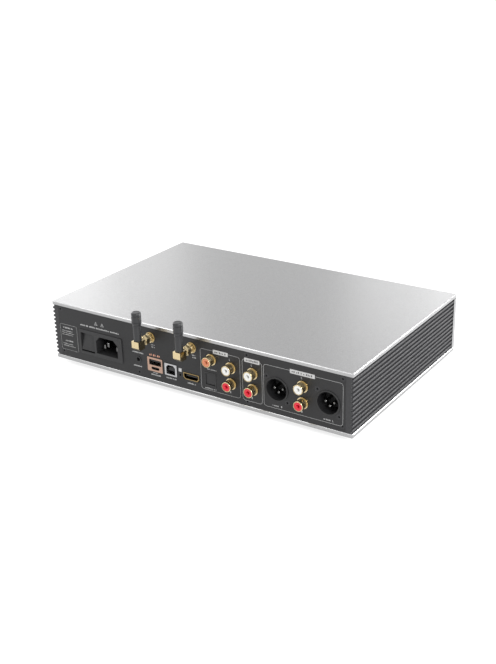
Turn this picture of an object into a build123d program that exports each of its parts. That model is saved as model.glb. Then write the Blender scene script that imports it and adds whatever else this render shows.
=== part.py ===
from build123d import *
import os

# A flat desktop digital-to-analogue converter. Two thick plates and a front panel in
# natural aluminium close a black frame: two finned side panels and a rear panel full of
# sockets, with two stub antennas on right-angle connectors.
# Frame: +Z is up, the front faces -Y and the sockets face +Y. The origin is on the floor,
# under the middle of the case. All sizes are in millimetres.

os.makedirs("parts", exist_ok=True)

# ---- Case ----
case_width = 300.0
case_depth = 192.0
foot_height = 5.0
bottom_thickness = 3.6
bay_height = 47.0  # clear height between the two plates
top_thickness = 3.5
corner_radius = 1.0
edge_chamfer = 0.5
front_thickness = 5.0
panel_thickness = 2.5
panel_inset = 0.3  # the rear panel stands this far inside the edges of the plates
panel_half_width = 143.5
web_inner = 141.0  # inner face of a side panel
web_outer = 148.0  # root of the fins
fin_tip = 149.8
fin_count = 12
fin_pitch = 3.8
fin_tip_round = 0.55

underside = foot_height
bay_floor = underside + bottom_thickness
bay_roof = bay_floor + bay_height
front_y = -case_depth / 2
front_back_y = front_y + front_thickness
rear_y = case_depth / 2 - panel_inset
rear_inner_y = rear_y - panel_thickness
centre_height = bottom_thickness + bay_height / 2  # above the case's underside

# Sockets are laid out on these two planes. Local Y is the height above the case's
# underside; local X runs to the right as seen by someone facing that side of the case.
rear_face = Plane(origin=(0, rear_y, underside), x_dir=(-1, 0, 0), z_dir=(0, 1, 0))
front_face = Plane(origin=(0, front_y, underside), x_dir=(1, 0, 0), z_dir=(0, -1, 0))

# ---- Places on the rear panel: (to the right, height) ----
power_module_at = (-96.4, 22.5)
rocker_at = (-111.2, 22.3)
inlet_at = (-89.45, 22.6)
trigger_at = (-55.3, 19.2)
usb_stack_at = (-37.5, 18.1)
usb_a_at = (-37.2, 20.1)
usb_c_at = (-37.2, 14.7)
usb_b_at = (-20.9, 17.35)
reset_at = (-11.4, 15.0)
hdmi_at = (0.0, 15.7)
optical_at = (19.4, 18.2)
antenna_at = {"left": (-40.75, 42.6), "right": (1.55, 42.6)}
xlr_at = {"right": (82.9, 25.0), "left": (128.7, 25.0)}
rca_upper, rca_lower = 33.6, 19.6
rca_coax_at = (21.2, 36.6)
rca_columns = {"out_1": 40.1, "out_2": 60.9, "out_3": 106.6}
corner_screws = [(side * 141.0, height) for side in (-1, 1) for height in (8.3, 48.1)]
block_x = 55.2
block_screws = [(side * block_x, height) for side in (-1, 1) for height in (7.4, 48.0)]
xlr_screw_offset = 9.5  # each balanced socket has two screws on a diagonal
xlr_screws = [
    (x + side * xlr_screw_offset, z - side * xlr_screw_offset)
    for x, z in xlr_at.values()
    for side in (-1, 1)
]
panel_screws = corner_screws + block_screws + xlr_screws

# ---- Socket bodies that pass through the rear panel: width, height ----
power_module_body = (47.0, 21.6)
usb_stack_body = (13.4, 10.6)
usb_b_body = (12.6, 10.7)
optical_body = (11.3, 12.3)
hdmi_width, hdmi_height, hdmi_corner = 16.0, 6.1, 1.9
jack_barrel_radius = 2.95
rca_radius = 4.15
xlr_body_radius = 10.0
sma_radius = 3.15
pinhole_radius = 0.9
cutout_gap = 0.1  # between a body and the edge of its cut-out

# ---- Places on the front panel ----
knob_at = (112.0, centre_height)
headphone_at = (-116.0, centre_height)
window_at = (0.0, centre_height)
window_width, window_height = 110.0, 27.0
window_corner = 3.0
bush_radius = 3.5  # the encoder's threaded bush
headphone_ring_radius = 5.5

# ---- Screws and posts ----
m3_radius = 1.5
m3_head_radius = 2.9
panel_screw_radius = 1.25  # the rear panel's screws are M2.5
panel_head_radius = 2.2
screw_depth = 0.15  # how far a countersunk head lies below the surface
head_gap = 0.1
thread_gap = 0.02
tapped_depth = 9.0  # of the case screws' holes in the side and front panels
corner_hole_depth = 16.0
post_radius = 3.0  # hexagonal pillars and standoffs, across the corners
pillar_xy = [(x, -72.0) for x in (-84, -36, 36, 84)] + [(-10.0, 60.0), (69.0, 60.0)]
side_screw_xy = [(x, y) for x in (-144.5, 144.5) for y in (-60, 60)]
front_screw_xy = [(x, front_y + front_thickness / 2) for x in (-100, 0, 100)]
case_screw_xy = pillar_xy + side_screw_xy + front_screw_xy
foot_xy = [(x, y) for x in (-118, 118) for y in (-66, 66)]
foot_radius = 12.0
foot_recess = 1.0
foot_counterbore = 2.5  # depth of the screw's pocket in a foot

# ---- Boards: x from, x to, y from, y to ----
board_thickness = 1.6
board_underside = bay_floor + 6.3
board_top = board_underside + board_thickness
main_board_area = (-4.0, 65.0, -50.0, 92.5)
analog_board_area = (-137.0, -16.0, -24.0, 76.0)
power_board_area = (73.0, 137.0, -4.0, 70.0)
standoff_xy = [
    (x, y)
    for x_low, x_high, y_low in ((0, 61, -45), (-132, -20, -19), (78, 132, 1))
    for x in (x_low, x_high)
    for y in (y_low, 65)
]


# ======== Shared shapes ========
def screw(radius, head_radius, length, socket_radius):
    """A countersunk socket screw, its flat head at Z = 0 and its shank down -Z."""
    head_height = head_radius - radius
    with BuildPart() as piece:
        with BuildSketch(Plane.XZ):
            with BuildLine():
                Polyline(
                    (0, 0), (head_radius, 0), (radius, -head_height),
                    (radius, -length), (0, -length), close=True,
                )
            make_face()
        revolve(axis=Axis.Z)
        with BuildSketch():
            RegularPolygon(radius=socket_radius, side_count=6)
        extrude(amount=-head_height, mode=Mode.SUBTRACT)
    return piece.part


def plate(z_low, thickness):
    """A full-size case plate with a small corner radius and eased edges."""
    with BuildPart() as piece:
        with BuildSketch(Plane.XY.offset(z_low)):
            RectangleRounded(case_width, case_depth, corner_radius)
        extrude(amount=thickness)
        chamfer(piece.faces().filter_by(Axis.Z).edges(), edge_chamfer)
    return piece.part


def cut_corner_outline(width, height, corner):
    """A rectangle whose two upper corners are cut at 45 degrees."""
    w, h = width / 2, height / 2
    with BuildSketch(mode=Mode.PRIVATE) as outline:
        with BuildLine():
            Polyline(
                (-w, -h), (w, -h), (w, h - corner), (w - corner, h),
                (corner - w, h), (-w, h - corner), close=True,
            )
        make_face()
    return outline.sketch


def underside_locations(points, z):
    """Locations under a horizontal face, looking up into it."""
    return [Location((x, y, z), (180, 0, 0)) for x, y in points]


def rear_location(at, out=0.0):
    """A location on the rear panel's face with local Z pointing out of the case."""
    return rear_face.location * Location((at[0], at[1], out))


# ======== Case ========
bottom_blank = plate(underside, bottom_thickness)
with BuildPart() as bottom_plate:
    add(bottom_blank)
    with Locations(*underside_locations(case_screw_xy, underside)):
        CounterSinkHole(
            m3_radius + head_gap, m3_head_radius + screw_depth + head_gap, counter_sink_angle=90
        )
    with BuildSketch(Plane.XY.offset(underside)):
        with Locations(*foot_xy):
            Circle(foot_radius + cutout_gap)
    extrude(amount=foot_recess, mode=Mode.SUBTRACT)
    with BuildSketch(Plane.XY.offset(underside)):
        with Locations(*foot_xy):
            Circle(m3_radius + thread_gap)
    extrude(amount=bottom_thickness, mode=Mode.SUBTRACT)
bottom_plate.part.label = "bottom_plate"
export_step(bottom_plate.part, "parts/bottom_plate.step")

stud_depth = 2.2
top_blank = plate(bay_roof, top_thickness)
with BuildPart() as top_plate:
    add(top_blank)
    with BuildSketch(Plane.XY.offset(bay_roof)):
        with Locations(*pillar_xy):
            Circle(m3_radius + thread_gap)
    extrude(amount=stud_depth, mode=Mode.SUBTRACT)
top_plate.part.label = "top_plate"
export_step(top_plate.part, "parts/top_plate.step")

boss_inner = 137.5
boss_height = 9.0
tooth_root, tooth_tip = 1.2, 0.8  # half thicknesses of a fin
for side_name, side in (("left", -1), ("right", 1)):
    with BuildPart() as side_panel:
        with BuildSketch(Plane.XZ.offset(-rear_y)):
            with Locations((side * (web_inner + web_outer) / 2, bay_floor + bay_height / 2)):
                Rectangle(web_outer - web_inner, bay_height)
            for height in (bay_floor + boss_height / 2, bay_roof - boss_height / 2):
                with Locations((side * (boss_inner + web_inner) / 2, height)):
                    Rectangle(web_inner - boss_inner, boss_height)
            with BuildSketch(mode=Mode.PRIVATE) as fin:
                with BuildLine():
                    Polyline(
                        (0, -tooth_root), (side * (fin_tip - web_outer), -tooth_tip),
                        (side * (fin_tip - web_outer), tooth_tip), (0, tooth_root), close=True,
                    )
                make_face()
                fillet(fin.vertices().group_by(Axis.X)[-1 if side > 0 else 0], fin_tip_round)
            with Locations((side * web_outer, bay_floor + bay_height / 2)):
                with GridLocations(1, fin_pitch, 1, fin_count):
                    add(fin.sketch)
        extrude(amount=rear_y - front_back_y)
        # Seat of the rear panel, and the tapped holes that its corner screws run into.
        with BuildSketch(rear_face):
            Rectangle(2 * (panel_half_width + cutout_gap), 4 * bay_height)
        extrude(amount=-panel_thickness, mode=Mode.SUBTRACT)
        with BuildSketch(rear_face):
            with Locations(*corner_screws):
                Circle(panel_screw_radius + thread_gap)
        extrude(amount=-corner_hole_depth, mode=Mode.SUBTRACT)
        with BuildSketch(Plane.XY.offset(bay_floor)):
            with Locations(*side_screw_xy):
                Circle(m3_radius + thread_gap)
        extrude(amount=tapped_depth, mode=Mode.SUBTRACT)
    side_panel.part.label = f"side_panel_{side_name}"
    export_step(side_panel.part, f"parts/side_panel_{side_name}.step")

with BuildPart() as front_panel:
    with BuildSketch(front_face):
        with Locations((0, centre_height)):
            Rectangle(case_width, bay_height)
    extrude(amount=-front_thickness)
    chamfer(front_panel.edges().filter_by(Axis.Z).group_by(Axis.Y)[0], edge_chamfer)
    with BuildSketch(front_face):
        with Locations(window_at):
            RectangleRounded(window_width, window_height, window_corner)
        with Locations(knob_at):
            Circle(bush_radius + cutout_gap)
        with Locations(headphone_at):
            Circle(headphone_ring_radius + cutout_gap)
    extrude(amount=-front_thickness, mode=Mode.SUBTRACT)
    with BuildSketch(Plane.XY.offset(bay_floor)):
        with Locations(*front_screw_xy):
            Circle(m3_radius + thread_gap)
    extrude(amount=tapped_depth, mode=Mode.SUBTRACT)
front_panel.part.label = "front_panel"
export_step(front_panel.part, "parts/front_panel.step")

rca_places = [rca_coax_at] + [(x, z) for x in rca_columns.values() for z in (rca_upper, rca_lower)]
with BuildPart() as rear_panel:
    with BuildSketch(rear_face):
        with Locations((0, centre_height)):
            Rectangle(2 * panel_half_width, bay_height)
    extrude(amount=-panel_thickness)
    with BuildSketch(rear_face):
        for place, (width, height) in (
            (power_module_at, power_module_body), (usb_stack_at, usb_stack_body),
            (usb_b_at, usb_b_body), (hdmi_at, (hdmi_width, hdmi_height)),
            (optical_at, optical_body),
        ):
            with Locations(place):
                Rectangle(width + 2 * cutout_gap, height + 2 * cutout_gap)
        for places, radius in (
            ([trigger_at], jack_barrel_radius), (rca_places, rca_radius),
            (xlr_at.values(), xlr_body_radius), (antenna_at.values(), sma_radius),
        ):
            with Locations(*places):
                Circle(radius + cutout_gap)
        with Locations(reset_at):
            Circle(pinhole_radius)
    extrude(amount=-panel_thickness, mode=Mode.SUBTRACT)
    with Locations(*[rear_location(at) for at in panel_screws]):
        CounterSinkHole(
            panel_screw_radius + head_gap, panel_head_radius + head_gap, counter_sink_angle=90
        )
rear_panel.part.label = "rear_panel"
export_step(rear_panel.part, "parts/rear_panel.step")

# ======== Feet, screws and posts ========
foot_pocket_radius = 3.2
foot_edge = 0.8
with BuildPart() as rubber_feet:
    with BuildSketch():
        with Locations(*foot_xy):
            Circle(foot_radius)
    extrude(amount=foot_height + foot_recess)
    chamfer(rubber_feet.faces().sort_by(Axis.Z)[0:4].edges(), foot_edge)
    for hole_radius, hole_depth in (
        (foot_pocket_radius, foot_counterbore), (m3_radius, foot_height + foot_recess),
    ):
        with BuildSketch():
            with Locations(*foot_xy):
                Circle(hole_radius)
        extrude(amount=hole_depth, mode=Mode.SUBTRACT)
rubber_feet.part.label = "rubber_feet"
export_step(rubber_feet.part, "parts/rubber_feet.step")

foot_screw_head = 2.0
foot_screw_bite = 3.0  # into the bottom plate
hex_socket_radius = 1.4
with BuildPart() as foot_screws:
    with BuildSketch(Plane.XY.offset(foot_counterbore - foot_screw_head)):
        with Locations(*foot_xy):
            Circle(m3_head_radius)
            RegularPolygon(hex_socket_radius, 6, mode=Mode.SUBTRACT)
    extrude(amount=foot_screw_head)
    with BuildSketch(Plane.XY.offset(foot_counterbore - foot_screw_head / 2)):
        with Locations(*foot_xy):
            Circle(m3_radius)
    extrude(amount=underside + foot_screw_bite - foot_counterbore + foot_screw_head / 2)
foot_screws.part.label = "foot_screws"
export_step(foot_screws.part, "parts/foot_screws.step")

case_screw_length, case_screw_socket = 10.0, 1.2
case_screw = screw(m3_radius, m3_head_radius, case_screw_length, case_screw_socket)
with BuildPart() as case_screws:
    with Locations(*underside_locations(case_screw_xy, underside + screw_depth)):
        add(case_screw)
case_screws.part.label = "case_screws"
export_step(case_screws.part, "parts/case_screws.step")

panel_screw_length, panel_screw_socket = 8.0, 1.0
panel_screw = screw(
    panel_screw_radius, panel_head_radius, panel_screw_length, panel_screw_socket
)
with BuildPart() as rear_panel_screws:
    with Locations(*[rear_location(at, -head_gap) for at in panel_screws]):
        add(panel_screw)
rear_panel_screws.part.label = "rear_panel_screws"
export_step(rear_panel_screws.part, "parts/rear_panel_screws.step")

block_size = 8.0
block_height = 6.2
with BuildPart() as panel_blocks:
    with BuildSketch(Plane.XZ.offset(-rear_inner_y)):
        for side in (-1, 1):
            with Locations(
                (side * block_x, bay_floor + block_height / 2),
                (side * block_x, bay_roof - block_height / 2),
            ):
                Rectangle(block_size, block_height)
    extrude(amount=block_size)
    with BuildSketch(rear_face):
        with Locations(*block_screws):
            Circle(panel_screw_radius + thread_gap)
    extrude(amount=-panel_thickness - 2 * block_size, mode=Mode.SUBTRACT)
panel_blocks.part.label = "panel_blocks"
export_step(panel_blocks.part, "parts/panel_blocks.step")

stud_gap = 0.2
pillar_hole_depth = 12.0
with BuildPart() as top_plate_pillars:
    with BuildSketch(Plane.XY.offset(bay_floor)):
        with Locations(*pillar_xy):
            RegularPolygon(radius=post_radius, side_count=6)
    extrude(amount=bay_height)
    with BuildSketch(Plane.XY.offset(bay_roof)):
        with Locations(*pillar_xy):
            Circle(m3_radius)
    extrude(amount=stud_depth - stud_gap)
    with BuildSketch(Plane.XY.offset(bay_floor)):
        with Locations(*pillar_xy):
            Circle(m3_radius + thread_gap)
    extrude(amount=pillar_hole_depth, mode=Mode.SUBTRACT)
top_plate_pillars.part.label = "top_plate_pillars"
export_step(top_plate_pillars.part, "parts/top_plate_pillars.step")

# ======== Mains inlet with its switch ========
module_flange = (48.0, 23.0)
flange_corner = 1.5
flange_lip = 0.8
flange_edge = 0.4
module_depth = 22.5
module_wall = 2.5
inlet_width, inlet_height, inlet_corner = 23.9, 15.9, 4.3
rocker_bay_width, rocker_bay_height, rocker_bay_depth = 15.2, 17.4, 13.5
blade_width, blade_height = 2.0, 4.0
blade_tail = 6.0  # behind the module
blade_bevel = 0.5
line_blades = [(inlet_at[0] + side * 7.0, inlet_at[1] - 2.6) for side in (-1, 1)]
earth_blade = (inlet_at[0], inlet_at[1] + 1.4)
line_recess, earth_recess = 5.0, 1.9  # from the rim to the blades' tips
axle_radius = 1.0
axle_bearing = 0.8  # how far the axle's holes run into the module's walls
axle_gap = 0.05
pivot_depth = 4.6  # below the flange's face
rocker_pivot = rear_location(rocker_at, flange_lip - pivot_depth)

with BuildPart() as power_module:
    with BuildSketch(rear_face):
        with Locations(power_module_at):
            RectangleRounded(*module_flange, flange_corner)
    extrude(amount=flange_lip)
    fillet(power_module.faces().sort_by(Axis.Y)[-1].edges(), flange_edge)
    with BuildSketch(rear_face):
        with Locations(power_module_at):
            Rectangle(*power_module_body)
    extrude(amount=-module_depth)
    with BuildSketch(rear_face.offset(flange_lip)):
        with Locations(inlet_at):
            add(cut_corner_outline(inlet_width, inlet_height, inlet_corner))
    extrude(amount=module_wall - module_depth - flange_lip, mode=Mode.SUBTRACT)
    with BuildSketch(rear_face.offset(flange_lip)):
        with Locations(rocker_at):
            Rectangle(rocker_bay_width, rocker_bay_height)
    extrude(amount=-rocker_bay_depth, mode=Mode.SUBTRACT)
    with BuildSketch(rear_face.offset(-module_depth)):
        with Locations(*line_blades, earth_blade):
            Rectangle(blade_width + 2 * thread_gap, blade_height + 2 * thread_gap)
    extrude(amount=module_wall, mode=Mode.SUBTRACT)
    with Locations(rocker_pivot):
        Cylinder(
            axle_radius + thread_gap, rocker_bay_width + 2 * axle_bearing,
            rotation=(0, 90, 0), mode=Mode.SUBTRACT,
        )
power_module.part.label = "power_module"
export_step(power_module.part, "parts/power_module.step")

with BuildPart() as inlet_blades:
    for places, recess in ((line_blades, line_recess), ([earth_blade], earth_recess)):
        with BuildSketch(rear_face.offset(flange_lip - recess)):
            with Locations(*places):
                Rectangle(blade_width, blade_height)
        extrude(amount=recess - flange_lip - module_depth - blade_tail)
    for tips in (-1, -2):
        chamfer(inlet_blades.faces().filter_by(Axis.Y).group_by(Axis.Y)[tips].edges(), blade_bevel)
inlet_blades.part.label = "inlet_blades"
export_step(inlet_blades.part, "parts/inlet_blades.step")

with BuildPart() as rocker_axle:
    with Locations(rocker_pivot):
        Cylinder(
            axle_radius, rocker_bay_width + 2 * (axle_bearing - axle_gap), rotation=(0, 90, 0)
        )
rocker_axle.part.label = "rocker_axle"
export_step(rocker_axle.part, "parts/rocker_axle.step")

# The rocker is a drum about its axle, cut by a slightly hollow face. At rest its upper
# end is pressed in.
rocker_radius = 8.5
rocker_face_height = 3.1  # from the axle to the face
rocker_hollow = 0.5
rocker_tilt = 12.0
rocker_width = 14.7
rocker_back = 4.5  # the drum is cut off flat this far behind the axle
rocker_edge = 0.35
rocker_half = (rocker_radius**2 - rocker_face_height**2) ** 0.5
rocker_plane = Plane(rocker_pivot).rotated((rocker_tilt, 0, 0))
with BuildPart() as power_rocker:
    with BuildSketch(Plane(rocker_plane.origin, x_dir=rocker_plane.y_dir, z_dir=rocker_plane.x_dir)):
        with BuildLine():
            ThreePointArc(
                (-rocker_half, rocker_face_height),
                (0, rocker_face_height - rocker_hollow),
                (rocker_half, rocker_face_height),
            )
            ThreePointArc(
                (rocker_half, rocker_face_height), (0, -rocker_radius),
                (-rocker_half, rocker_face_height),
            )
        make_face()
        with Locations((0, -rocker_radius)):
            Rectangle(3 * rocker_radius, 2 * (rocker_radius - rocker_back), mode=Mode.SUBTRACT)
        Circle(axle_radius + axle_gap, mode=Mode.SUBTRACT)
    extrude(amount=rocker_width / 2, both=True)
    fillet(power_rocker.faces().sort_by(Axis.Y)[-1].edges(), rocker_edge)
power_rocker.part.label = "power_rocker"
export_step(power_rocker.part, "parts/power_rocker.step")

# ======== Digital sockets ========
bezel_size, bezel_corner, bezel_thickness = (15.8, 12.6), 0.6, 0.4
usb_stack_depth = 17.0
usb_a_mouth, usb_a_depth = (12.5, 5.1), 11.0
usb_c_mouth, usb_c_depth = (8.4, 2.6), 7.0
with BuildPart() as usb_bezel:
    with BuildSketch(rear_face):
        with Locations(usb_stack_at):
            RectangleRounded(*bezel_size, bezel_corner)
        with Locations(usb_a_at):
            Rectangle(*usb_a_mouth, mode=Mode.SUBTRACT)
        with Locations(usb_c_at):
            SlotOverall(*usb_c_mouth, mode=Mode.SUBTRACT)
    extrude(amount=bezel_thickness)
usb_bezel.part.label = "usb_bezel"
export_step(usb_bezel.part, "parts/usb_bezel.step")

with BuildPart() as usb_stack_shell:
    with BuildSketch(rear_face):
        with Locations(usb_stack_at):
            Rectangle(*usb_stack_body)
    extrude(amount=-usb_stack_depth)
    with BuildSketch(rear_face):
        with Locations(usb_a_at):
            Rectangle(*usb_a_mouth)
    extrude(amount=-usb_a_depth, mode=Mode.SUBTRACT)
    with BuildSketch(rear_face):
        with Locations(usb_c_at):
            SlotOverall(*usb_c_mouth)
    extrude(amount=-usb_c_depth, mode=Mode.SUBTRACT)
usb_stack_shell.part.label = "usb_stack_shell"
export_step(usb_stack_shell.part, "parts/usb_stack_shell.step")

usb_b_lip, usb_b_corner = 0.5, 0.5
usb_b_mouth = (9.1, 8.2, 1.9)  # width, height, cut corners
usb_b_depth, usb_b_back = 12.0, 4.0
with BuildPart() as usb_b_shell:
    with BuildSketch(rear_face.offset(usb_b_lip)):
        with Locations(usb_b_at):
            RectangleRounded(*usb_b_body, usb_b_corner)
            add(cut_corner_outline(*usb_b_mouth), mode=Mode.SUBTRACT)
    extrude(amount=-usb_b_depth - usb_b_lip)
    with BuildSketch(rear_face.offset(-usb_b_depth)):
        with Locations(usb_b_at):
            Rectangle(*usb_b_body)
    extrude(amount=-usb_b_back)
usb_b_shell.part.label = "usb_b_shell"
export_step(usb_b_shell.part, "parts/usb_b_shell.step")

hdmi_lip = 0.4
hdmi_mouth = (14.2, 4.5, 1.5)  # width, height, cut corners
hdmi_depth, hdmi_back = 9.0, 3.0
with BuildPart() as hdmi_shell:
    with BuildSketch(rear_face.offset(hdmi_lip)):
        with Locations(hdmi_at):
            add(cut_corner_outline(hdmi_width, hdmi_height, hdmi_corner), rotation=180)
            add(cut_corner_outline(*hdmi_mouth), rotation=180, mode=Mode.SUBTRACT)
    extrude(amount=-hdmi_depth - hdmi_lip)
    with BuildSketch(rear_face.offset(-hdmi_depth)):
        with Locations(hdmi_at):
            add(cut_corner_outline(hdmi_width, hdmi_height, hdmi_corner), rotation=180)
    extrude(amount=-hdmi_back)
hdmi_shell.part.label = "hdmi_shell"
export_step(hdmi_shell.part, "parts/hdmi_shell.step")

tongue_recess = 1.0
tongues = [  # (socket, raised above its middle, width, height, depth of the socket)
    (usb_a_at, 1.15, 11.1, 1.9, usb_a_depth),
    (usb_c_at, 0.0, 6.7, 0.7, usb_c_depth),
    (usb_b_at, 0.3, 5.6, 3.1, usb_b_depth),
    (hdmi_at, 0.3, 11.3, 1.3, hdmi_depth),
]
with BuildPart() as socket_tongues:
    for (x, height), raised, tongue_width, tongue_height, socket_depth in tongues:
        with BuildSketch(rear_face.offset(-tongue_recess)):
            with Locations((x, height + raised)):
                Rectangle(tongue_width, tongue_height)
        extrude(amount=tongue_recess - socket_depth)
socket_tongues.part.label = "socket_tongues"
export_step(socket_tongues.part, "parts/socket_tongues.step")

jack_bore, jack_bore_depth = 1.8, 13.5
jack_body, jack_body_depth = (9.0, 7.6), 12.0
jack_lip = 0.4
with BuildPart() as trigger_jack:
    with BuildSketch(rear_inner := rear_face.offset(-panel_thickness)):
        with Locations(trigger_at):
            Rectangle(*jack_body)
    extrude(amount=-jack_body_depth)
    with BuildSketch(rear_inner):
        with Locations(trigger_at):
            Circle(jack_barrel_radius)
    extrude(amount=panel_thickness + jack_lip)
    with BuildSketch(rear_face.offset(jack_lip)):
        with Locations(trigger_at):
            Circle(jack_bore)
    extrude(amount=-jack_bore_depth, mode=Mode.SUBTRACT)
trigger_jack.part.label = "trigger_jack"
export_step(trigger_jack.part, "parts/trigger_jack.step")

# The reset key is a small sealed switch whose plunger ends just inside a pinhole.
reset_size, reset_depth = 6.0, 4.0
reset_behind = 1.0  # from the panel's back to the switch
plunger_behind = 0.25  # from the panel's back to the plunger's end
reset_plunger_radius, reset_plunger_length = 1.5, 2.6
plunger_bore_depth = 2.5
plunger_gap = 0.05
reset_front = rear_face.offset(-panel_thickness - reset_behind)
with BuildPart() as reset_switch:
    with BuildSketch(reset_front):
        with Locations(reset_at):
            Rectangle(reset_size, reset_size)
    extrude(amount=-reset_depth)
    with BuildSketch(reset_front):
        with Locations(reset_at):
            Circle(reset_plunger_radius + plunger_gap)
    extrude(amount=-plunger_bore_depth, mode=Mode.SUBTRACT)
reset_switch.part.label = "reset_switch"
export_step(reset_switch.part, "parts/reset_switch.step")

with BuildPart() as reset_plunger:
    with BuildSketch(rear_face.offset(-panel_thickness - plunger_behind)):
        with Locations(reset_at):
            Circle(reset_plunger_radius)
    extrude(amount=-reset_plunger_length)
reset_plunger.part.label = "reset_plunger"
export_step(reset_plunger.part, "parts/reset_plunger.step")

# The optical socket has a sprung flap, hinged along its upper edge, that folds inwards.
flap_width, flap_height, flap_thickness = 8.8, 9.2, 0.8
flap_pin_radius = 0.6
flap_pin_bearing, flap_pin_gap = 0.8, 0.06
flap_recess = 0.6
flap_above_hinge = 0.2
flap_side_gap, flap_end_gap = 0.2, 0.4
flap_edge = 0.2
optical_lip, optical_edge = 0.3, 0.25
optical_depth, optical_mouth_depth = 14.0, 12.0
flap_hinge_height = optical_at[1] + 4.3
flap_hinge_depth = flap_recess + flap_pin_radius
flap_hinge = rear_location((optical_at[0], flap_hinge_height), optical_lip - flap_hinge_depth)
with BuildPart() as optical_socket:
    with BuildSketch(rear_face.offset(optical_lip)):
        with Locations(optical_at):
            Rectangle(*optical_body)
    extrude(amount=-optical_lip - optical_depth)
    fillet(optical_socket.faces().sort_by(Axis.Y)[-1].edges(), optical_edge)
    with BuildSketch(rear_face.offset(optical_lip)):
        with Locations(optical_at):
            Rectangle(flap_width + 2 * flap_side_gap, flap_height + 2 * flap_end_gap)
    extrude(amount=-optical_mouth_depth, mode=Mode.SUBTRACT)
    with Locations(flap_hinge):
        Cylinder(
            flap_pin_radius + flap_pin_gap, flap_width + 2 * flap_pin_bearing,
            rotation=(0, 90, 0), mode=Mode.SUBTRACT,
        )
optical_socket.part.label = "optical_socket"
export_step(optical_socket.part, "parts/optical_socket.step")

with BuildPart() as optical_shutter:
    with BuildSketch(rear_face.offset(optical_lip - flap_recess)):
        with Locations(
            (optical_at[0], flap_hinge_height + flap_above_hinge - flap_height / 2)
        ):
            Rectangle(flap_width, flap_height)
    extrude(amount=-flap_thickness)
    fillet(optical_shutter.edges().filter_by(Axis.X).group_by(Axis.Y)[-1], flap_edge)
    with Locations(flap_hinge):
        Cylinder(
            flap_pin_radius, flap_width + 2 * (flap_pin_bearing - flap_pin_gap),
            rotation=(0, 90, 0),
        )
optical_shutter.part.label = "optical_shutter"
export_step(optical_shutter.part, "parts/optical_shutter.step")

# ======== Phono sockets ========
rca_reach = 8.0  # how far the barrel stands out of the panel
rca_liner_radius = 3.65
rca_contact_radius, rca_contact_depth = 1.62, 10.0
rca_flange_radius, rca_flange = 4.9, 1.2
rca_nut_radius, rca_nut = 6.2, 2.0
rca_tail = 9.0  # behind the panel's face
rca_insert_tail = 11.0
rca_edge = 0.25
rca_insert_recess = 0.15


def rca_shells(places):
    """Plated barrels with an outer flange, a threaded tail and an inner nut."""
    with BuildPart() as shells:
        with BuildSketch(rear_face.offset(-rca_tail)):
            with Locations(*places):
                Circle(rca_radius)
        extrude(amount=rca_tail + rca_reach)
        fillet(shells.faces().group_by(Axis.Y)[-1].edges(), rca_edge)
        with BuildSketch(rear_face):
            with Locations(*places):
                Circle(rca_flange_radius)
        extrude(amount=rca_flange)
        with BuildSketch(rear_face.offset(-panel_thickness - rca_nut)):
            with Locations(*places):
                RegularPolygon(radius=rca_nut_radius, side_count=6)
        extrude(amount=rca_nut)
        with BuildSketch(rear_face.offset(rca_reach)):
            with Locations(*places):
                Circle(rca_liner_radius)
        extrude(amount=-rca_reach - rca_tail, mode=Mode.SUBTRACT)
    return shells


def rca_inserts(places):
    """Moulded liners: a tube that fills the barrel and takes the plug's centre pin."""
    with BuildPart() as inserts:
        with BuildSketch(rear_face.offset(rca_reach - rca_insert_recess)):
            with Locations(*places):
                Circle(rca_liner_radius)
        extrude(amount=-rca_reach - rca_insert_tail)
        fillet(inserts.faces().group_by(Axis.Y)[-1].edges(), rca_edge)
        with BuildSketch(rear_face.offset(rca_reach)):
            with Locations(*places):
                Circle(rca_contact_radius)
        extrude(amount=-rca_contact_depth, mode=Mode.SUBTRACT)
    return inserts


rca_groups = {"coax": [rca_coax_at]} | {
    name: [(x, rca_upper), (x, rca_lower)] for name, x in rca_columns.items()
}
for name, places in rca_groups.items():
    shells = rca_shells(places)
    shells.part.label = f"rca_{name}_shell" if len(places) == 1 else f"rca_{name}_shells"
    export_step(shells.part, f"parts/{shells.part.label}.step")

insert_groups = {
    "rca_orange_insert": [rca_coax_at],
    "rca_white_inserts": [(x, rca_upper) for x in rca_columns.values()],
    "rca_red_inserts": [(x, rca_lower) for x in rca_columns.values()],
}
for name, places in insert_groups.items():
    inserts = rca_inserts(places)
    inserts.part.label = name
    export_step(inserts.part, f"parts/{name}.step")

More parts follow.
